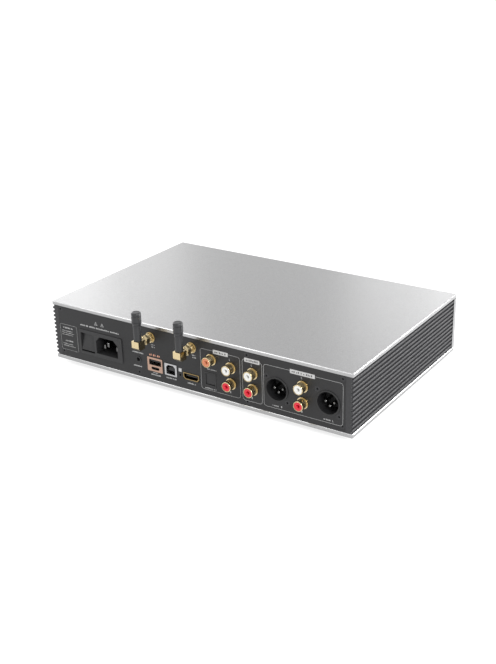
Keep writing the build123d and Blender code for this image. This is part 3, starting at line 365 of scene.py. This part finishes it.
def letter(bm, which, s, h, size):
    """A plain L or R, for the channel."""
    w, t = size * LETTER_WIDTH, size * LETTER_STROKE
    x0, x1, y0, y1 = s - w / 2, s + w / 2, h - size / 2, h + size / 2
    waist = y0 + size * LETTER_WAIST
    strokes = [(x0, y0, x0 + t, y1)]
    if which == "L":
        strokes.append((x0 + t, y0, x1, y0 + t))
    else:
        strokes += [
            (x0 + t, y1 - t, x1, y1),
            (x0 + t, waist, x1, waist + t),
            (x1 - t, waist + t, x1, y1 - t),
        ]
        leg = [(x0 + LEG_LEFT * t, waist), (x1 - t, y0), (x1, y0), (x0 + LEG_RIGHT * t, waist)]
        prism(bm, leg, -SUNK, INK, place())
    for stroke in strokes:
        bar(bm, *stroke, -SUNK, INK, place())


ink = bmesh.new()
# The label block at the left: a rounded outline, two headings and five rows of small print.
LABEL_BLOCK = (-143.0, -123.6, 10.0, 34.3)  # left, right, low, high
HEADINGS = ((-139.2, -127.6, 31.2, 1.3), (-137.8, -129.4, 18.9, 1.2))  # left, right, height, size
SMALL_LEFT, SMALL_RIGHT, SMALL_SIZE = -141.0, (-129.5, -126.5), 0.7
line_frame(ink, *LABEL_BLOCK, radius=1.6, width=0.14)
for row in HEADINGS:
    words(ink, *row)
for h in (28.2, 26.4, 24.6, 15.8, 14.0):
    words(ink, SMALL_LEFT, draw.uniform(*SMALL_RIGHT), h, SMALL_SIZE)

# Two caution triangles and a line of print over the mains inlet.
TRIANGLES = (-100.6, -93.6)
TRIANGLE_OUTER, TRIANGLE_INNER = (1.8, 40.7, 43.8), (1.38, 40.94, 43.32)  # half width, foot, tip
MARK_HALF, MARK_LOW, MARK_HIGH = 0.16, 41.3, 42.4  # the stroke inside a triangle
INLET_LINE = (-118.7, -75.4, 38.0, 1.3)
for s in TRIANGLES:
    outer, inner = (
        [(s - half, foot), (s + half, foot), (s, tip)]
        for half, foot, tip in (TRIANGLE_OUTER, TRIANGLE_INNER)
    )
    frame_prism(ink, outer, inner, -SUNK, INK, place())
    bar(ink, s - MARK_HALF, MARK_LOW, s + MARK_HALF, MARK_HIGH, -SUNK, INK, place())
words(ink, *INLET_LINE)

# Labels by the sockets: (CAD node, left and right ends from its middle, height, size).
for name, left, right, h, size in (
    ("sma_jack_left", 0.2, 3.6, 36.0, 0.9),
    ("sma_jack_left", 0.6, 4.4, 34.0, 0.9),
    ("sma_jack_right", 0.2, 3.6, 36.0, 0.9),
    ("sma_jack_right", 0.6, 4.4, 34.0, 0.9),
    ("trigger_jack", -6.0, 5.4, 25.5, 1.1),
    ("trigger_jack", -5.4, 3.6, 12.9, 1.1),
    ("usb_bezel", -4.6, 5.2, 8.6, 1.1),
    ("usb_bezel", -2.4, 2.8, 10.6, 0.8),
    ("usb_b_shell", -5.0, 5.6, 9.4, 1.1),
    ("hdmi_shell", -4.0, 4.0, 9.7, 1.1),
    ("rca_coax_shell", -4.4, 4.6, 27.2, 0.9),
    ("optical_socket", -5.4, 5.6, 9.9, 1.0),
):
    x = centre(name)[0]
    words(ink, x + left, x + right, h, size)
PLAIN_SQUARE = (-12.8, 18.0, -9.8, 21.1)  # beside the USB-B socket: left, low, right, high
bar(ink, *PLAIN_SQUARE, -SUNK, INK, place())

# Three framed groups of sockets: (left, right, its tag's left, its tag's right).
GROUPS = ((10.1, 48.7, 22.9, 37.3), (50.8, 69.4, 53.0, 67.2), (70.8, 141.5, 95.0, 117.0))
GROUP_LOW, GROUP_HIGH = 8.2, 44.3
for left, right, _, _ in GROUPS:
    line_frame(ink, left, right, GROUP_LOW, GROUP_HIGH, radius=2.6, width=0.19)

# The channel letters over and under each pair of phono sockets, and by the balanced sockets.
PAIRS, LETTER_HIGH, LETTER_LOW, LETTER_SIZE = (38.9, 59.7, 105.4), 40.2, 11.6, 1.7
for s in PAIRS:
    letter(ink, "L", s, LETTER_HIGH, LETTER_SIZE)
    letter(ink, "R", s, LETTER_LOW, LETTER_SIZE)
XLR_LABEL, XLR_LABEL_SIZE, XLR_LETTER_SIZE = 10.6, 1.0, 1.5
XLR_LEFT, XLR_RIGHT, XLR_LETTER = -4.0, 2.0, 4.2  # from a socket's middle
for name in ("right", "left"):
    x = centre(f"xlr_{name}_shell")[0]
    words(ink, x + XLR_LEFT, x + XLR_RIGHT, XLR_LABEL, XLR_LABEL_SIZE)
    letter(ink, name[0].upper(), x + XLR_LETTER, XLR_LABEL, XLR_LETTER_SIZE)
piece(ink, "rear_print", looks["print_white"])

# The groups' title tags, each a pale plate with a row of dark marks.
TAG_MIDDLE, TAG_HEIGHT, TAG_CORNER, TAG_OUT = 43.85, 3.5, 0.5, 0.06
TITLE_MARGIN, TITLE_SIZE, TITLE_LOW, TITLE_HIGH = 1.6, 1.5, 0.05, 0.09
tags = bmesh.new()
marks = bmesh.new()
for _, _, left, right in GROUPS:
    outline = rounded(right - left, TAG_HEIGHT, TAG_CORNER, x=(left + right) / 2, y=TAG_MIDDLE)
    prism(tags, outline, -SUNK, TAG_OUT, place())
    words(
        marks, left + TITLE_MARGIN, right - TITLE_MARGIN, TAG_MIDDLE, TITLE_SIZE,
        low=TITLE_LOW, high=TITLE_HIGH,
    )
piece(tags, "rear_title_tags", looks["print_white"])
piece(marks, "rear_title_marks", looks["black_plastic"])

# The copper coloured row over the copper frame.
COPPER_LEFT, COPPER_RIGHT, COPPER_HEIGHT, COPPER_SIZE = -5.6, 5.4, 26.6, 1.6
copper = bmesh.new()
bezel = centre("usb_bezel")[0]
words(copper, bezel + COPPER_LEFT, bezel + COPPER_RIGHT, COPPER_HEIGHT, COPPER_SIZE)
piece(copper, "rear_print_copper", looks["print_copper"])

# ======== Turned and threaded detail: heights are out from the rear panel, in mm ========
BITE = 0.1  # how far a ring's foot lies inside the barrel it stands on
RIDGE = ((0.12, 0), (0.32, 0.7), (0.5, 1), (0.68, 0.7), (0.88, 0))  # shares of pitch and depth
ROUNDING = 1e-6


def ridges(bm, matrix, radius, start, stop, pitch, depth, segments=48):
    """Rounded screw-thread ridges on a barrel; each is a closed ring that bites into it."""
    z = start
    while z + pitch <= stop + ROUNDING:
        crest = [(radius + share * depth, z + along * pitch) for along, share in RIDGE]
        foot = [(radius - BITE, z + along * pitch) for along in (RIDGE[0][0], RIDGE[-1][0])]
        lathe(bm, [foot[0], *crest, foot[1]], matrix, segments)
        z += pitch


# (right, height) of every phono barrel, the upper one of each pair first.
RCA_NUT_CORNER = 6.2
nut_half = RCA_NUT_CORNER * math.sqrt(3) / 2  # the inner nuts' flats end each group's box
rca = [centre("rca_coax_shell")]
for group in ("rca_out_1_shells", "rca_out_2_shells", "rca_out_3_shells"):
    low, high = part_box(group)
    x = centre(group)[0]
    rca += [
        (x, (high.z - UNDERSIDE) / MM - nut_half),
        (x, (low.z - UNDERSIDE) / MM + nut_half),
    ]

RCA_RADIUS, RCA_THREAD_FOOT, RCA_THREAD_END, RCA_PITCH, RCA_DEPTH = 4.15, 2.0, 6.4, 0.62, 0.05
RIM_INNER, RIM_OUTER, RIM_FOOT, RIM_END = RCA_RADIUS - BITE, 4.28, 6.9, 7.8
rim = [
    (RIM_INNER, RIM_FOOT), (RIM_OUTER - 0.06, RIM_FOOT), (RIM_OUTER, RIM_FOOT + 0.1),
    (RIM_OUTER, RIM_END - 0.1), (RIM_OUTER - 0.08, RIM_END), (RIM_INNER, RIM_END),
]
threads = bmesh.new()
for s, h in rca:
    at = place(s, h)
    ridges(threads, at, RCA_RADIUS, RCA_THREAD_FOOT, RCA_THREAD_END, RCA_PITCH, RCA_DEPTH)
    lathe(threads, rim, at)
piece(threads, "rca_threads", looks["gold_plate"], smooth_angle=40)

# Each liner's mouth narrows to the hole for the plug's pin, in the liner's own colour.
PIN_HOLE, LINER_BORE, MOUTH_FOOT, MOUTH_SEGMENTS = 0.8, 1.6, 1.5, 32
mouth = [
    (PIN_HOLE, MOUTH_FOOT), (LINER_BORE, MOUTH_FOOT), (LINER_BORE, 7.72), (1.5, 7.78),
    (1.4, 7.65), (0.95, 5.4), (PIN_HOLE, 5.2),
]
for name, places in (("orange", rca[:1]), ("white", rca[1::2]), ("red", rca[2::2])):
    mouths = bmesh.new()
    for s, h in places:
        lathe(mouths, mouth, place(s, h), MOUTH_SEGMENTS)
    slot = f"{name}_plastic"
    piece(mouths, f"rca_mouths_{name}", looks[slot], smooth_angle=40)

SMA_RADIUS, SMA_THREAD_FOOT, SMA_THREAD_END, SMA_PITCH, SMA_DEPTH = 3.15, 2.3, 5.5, 0.7, 0.12
SMA_SEGMENTS = 40
NUT_APOTHEM, NUT_BORE, NUT_EASE, NUT_SEGMENTS = 3.9, 3.23, 0.35, 72
COLLAR_LENGTH, COLLAR_RADIUS, NECK_RADIUS = 1.5, 3.75, 3.55
SLEEVE_SEGMENTS = 56
SLIM, WAIST, STEP, FULL, GROOVE = 3.35, 3.32, 3.55, 4.05, 3.8  # the sleeve's radii
CAP, CAP_GROOVE, DISH = 4.03, 3.75, 0.18  # the radii of its end, and how deep that is dished


def hexagon(angle, apothem):
    """The radius of a hexagon at an angle."""
    return apothem / math.cos((angle + math.pi / 6) % (math.pi / 3) - math.pi / 6)


def hex_nut(bm, matrix, apothem, low, high, bore, ease, segments):
    """A hexagonal nut whose corners are turned down at both ends."""
    corner = apothem / math.cos(math.pi / 6)
    rings = []
    for z, limit in (
        (low, apothem), (low + ease, corner), (high - ease, corner), (high, apothem),
    ):
        points = []
        for k in range(segments):
            a = 2 * math.pi * k / segments
            radius = min(hexagon(a, apothem), limit)
            points.append((radius * math.cos(a), radius * math.sin(a), z))
        rings.append(loop(bm, points, matrix))
    rings += [circle(bm, bore, z, matrix, segments) for z in (high, low)]
    for i in range(len(rings)):
        bridge(bm, rings[i], rings[(i + 1) % len(rings)])


def antenna_coupling(side, at):
    """The coupling nut: a hexagon behind a round collar."""
    low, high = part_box(f"antenna_nut_{side}")
    start, stop = (low.y - FACE_Y) / MM, (high.y - FACE_Y) / MM
    shoulder = stop - COLLAR_LENGTH
    nut = bmesh.new()
    hex_nut(nut, at, NUT_APOTHEM, start, shoulder, NUT_BORE, NUT_EASE, NUT_SEGMENTS)
    collar = [
        (NUT_BORE, shoulder), (COLLAR_RADIUS, shoulder), (COLLAR_RADIUS, stop - 1.1),
        (NECK_RADIUS, stop - 0.9), (NECK_RADIUS, stop - 0.15), (3.4, stop), (NUT_BORE, stop),
    ]
    lathe(nut, collar, at)
    made = piece(
        nut, f"antenna_coupling_{side}", looks["gold_plate"],
        f"antenna_nut_{side}", smooth_angle=25,
    )
    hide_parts(f"antenna_nut_{side}")


def antenna_sleeve(side):
    """The moulded sleeve: slim below, stepped out above, with a groove under its end."""
    low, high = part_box(f"antenna_rod_{side}")
    foot = Matrix.Translation(((low.x + high.x) / 2, (low.y + high.y) / 2, low.z))
    top = (high.z - low.z) / MM
    slim = [(0, 0), (3.1, 0), (SLIM, 0.25), (SLIM, 10.6), (WAIST, 10.8), (WAIST, 12.9)]
    steps = [
        (STEP, 13.1), (STEP, 14.0), (3.4, 14.1), (3.4, 14.4), (3.62, 14.5), (3.7, 14.9),
        (4.0, 15.5), (FULL, 15.7),
    ]
    wide = [(FULL, 16.6), (GROOVE, 16.7), (GROOVE, 17.1), (FULL, 17.25), (FULL, top - 3.0)]
    end = [
        (CAP_GROOVE, top - 2.85), (CAP_GROOVE, top - 2.35), (CAP, top - 2.2), (CAP, top - 1.0),
        (3.85, top - 0.5), (3.45, top - 0.12), (3.0, top), (2.8, top - DISH), (0, top - DISH),
    ]
    rod = bmesh.new()
    profile = slim + steps + wide + end
    cap_lathe(rod, profile, foot @ Matrix.Scale(MM, 4), SLEEVE_SEGMENTS)
    made = piece(
        rod, f"antenna_sleeve_{side}", looks["antenna_rubber"],
        f"antenna_{side}", smooth_angle=35,
    )
    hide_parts(f"antenna_rod_{side}")


for side in ("left", "right"):
    at = place(*centre(f"sma_jack_{side}"))
    sma = bmesh.new()
    ridges(
        sma, at, SMA_RADIUS, SMA_THREAD_FOOT, SMA_THREAD_END, SMA_PITCH, SMA_DEPTH, SMA_SEGMENTS,
    )
    piece(sma, f"sma_thread_{side}", looks["gold_plate"], smooth_angle=40)
    antenna_coupling(side, at)
    antenna_sleeve(side)

# ======== Inside the sockets ========
RIB_WIDTH, RIB_HEIGHT, RIB_CORNER, RIB_RISE = 2.6, 1.3, 0.3, 8.7
RIB_DEEP, RIB_FRONT = -12.0, -2.4
ribs = bmesh.new()
for name in ("right", "left"):
    s, h = centre(f"xlr_{name}_insert")
    outline = rounded(RIB_WIDTH, RIB_HEIGHT, RIB_CORNER, x=s, y=h + RIB_RISE)
    prism(ribs, outline, RIB_DEEP, RIB_FRONT, place())
piece(ribs, "xlr_key_ribs", looks["black_plastic"])

# Rows of flat spring contacts: (CAD node, right and up from its middle, how many, pitch, width,
# thickness, deep end, front end).
springs = bmesh.new()
for name, right, up, count, pitch, width, thick, deep, front in (
    ("usb_stack_shell", 0.3, 2.1, 4, 2.3, 1.0, 0.24, -8.0, -1.6),
    ("usb_b_shell", 0.0, 1.85, 2, 2.5, 0.9, 0.2, -8.0, -1.6),
    ("usb_b_shell", 0.0, -1.25, 2, 2.5, 0.9, 0.2, -8.0, -1.6),
    ("hdmi_shell", 0.0, 0.96, 10, 1.0, 0.5, 0.12, -7.0, -1.4),
    ("hdmi_shell", 0.0, -0.36, 10, 1.0, 0.5, 0.12, -7.0, -1.4),
):
    s, h = centre(name)
    y = h + up
    for k in range(count):
        x = s + right + (k - (count - 1) / 2) * pitch
        bar(springs, x - width / 2, y - thick / 2, x + width / 2, y + thick / 2, deep, front, place())
piece(springs, "socket_springs", looks["gold_plate"])

# ======== Stage, light and camera ========
FLOOR_SIDE, FLOOR_CORNER, FLOOR_THICKNESS = 8000, 10, 20  # mm
FLOOR_GLOW = 0.72  # a grey floor that glows renders white, and shadows on it stay faint
floor = bmesh.new()
prism(
    floor, rounded(FLOOR_SIDE, FLOOR_SIDE, FLOOR_CORNER, steps=1), -FLOOR_THICKNESS, 0,
    Matrix.Scale(MM, 4),
)
mesh_object(floor, "floor", make_look(
    "floor", (0.36, 0.36, 0.36, 1), 0.7, mottle=0.01, mottle_scale=4.0, grain_scale=60.0,
    Emission_Color=(1, 1, 1, 1), Emission_Strength=FLOOR_GLOW,
))

scene = bpy.context.scene
scene.view_settings.view_transform = "Standard"
world = bpy.data.worlds.new("studio")
scene.world = world
world.use_nodes = True
world.node_tree.nodes["Background"].inputs["Color"].default_value = (1, 1, 1, 1)
world.node_tree.nodes["Background"].inputs["Strength"].default_value = 1.0


def softbox(name, at, target, size, watts):
    """A rectangular soft light that faces its target."""
    data = bpy.data.lights.new(name, "AREA")
    data.shape = "RECTANGLE"
    data.size, data.size_y = size
    data.energy = watts
    light = bpy.data.objects.new(name, data)
    scene.collection.objects.link(light)
    light.location = at
    light.rotation_mode = "QUATERNION"
    light.rotation_quaternion = (Vector(target) - Vector(at)).to_track_quat("-Z", "Y")


CASE_MIDDLE = Vector((0, 0, 0.03))
STRIP = (0.21, 0.5)
# (name, azimuth from +X towards +Y, elevation, distance, size, watts)
for name, azimuth, elevation, distance, size, watts in (
    ("far_strip_right", 282, 20, 1.5, STRIP, 0.48),
    ("far_strip_middle", 290, 20, 1.5, STRIP, 0.26),
    ("far_strip_left", 314, 20, 1.5, STRIP, 0.22),
    ("far_strip_end", 322, 20, 1.5, STRIP, 0.49),
    ("front_left", 338, 20, 1.5, STRIP, 4.0),
    ("front_side", 0, 45, 1.3, (0.9, 0.9), 1.8),
    ("side_rear", 200, 15, 1.3, (0.6, 0.5), 5.6),
    ("side_front", 225, 15, 1.3, (0.6, 0.5), 11.5),
    ("rear_edge", 38, 50, 1.3, (0.5, 0.5), 3.2),
    ("rear_key", 150, 28, 1.2, (0.3, 0.3), 8.0),
):
    a, e = math.radians(azimuth), math.radians(elevation)
    at = Vector((math.cos(a) * math.cos(e), math.sin(a) * math.cos(e), math.sin(e))) * distance
    softbox(name, at + CASE_MIDDLE, CASE_MIDDLE, size, watts)

CAMERA_AT = (-0.4701, 0.7068, 0.3840)
AZIMUTH, ELEVATION, ROLL = math.radians(213.16), math.radians(23.0), math.radians(-1.17)
SENSOR_WIDTH, FOCAL_LENGTH, SHIFT_X, SHIFT_Y, NEAREST = 36.0, 56.05, -0.0221, 0.0033, 0.01
camera_data = bpy.data.cameras.new("camera")
camera = bpy.data.objects.new("camera", camera_data)
scene.collection.objects.link(camera)
scene.camera = camera
back = Vector((
    math.sin(AZIMUTH) * math.cos(ELEVATION), -math.cos(AZIMUTH) * math.cos(ELEVATION),
    math.sin(ELEVATION),
))
camera.location = CAMERA_AT
camera.rotation_mode = "QUATERNION"
camera.rotation_quaternion = (-back).to_track_quat("-Z", "Y") @ Quaternion((0, 0, 1), ROLL)
camera_data.sensor_width = SENSOR_WIDTH
camera_data.lens = FOCAL_LENGTH
camera_data.shift_x = SHIFT_X
camera_data.shift_y = SHIFT_Y
camera_data.clip_start = NEAREST
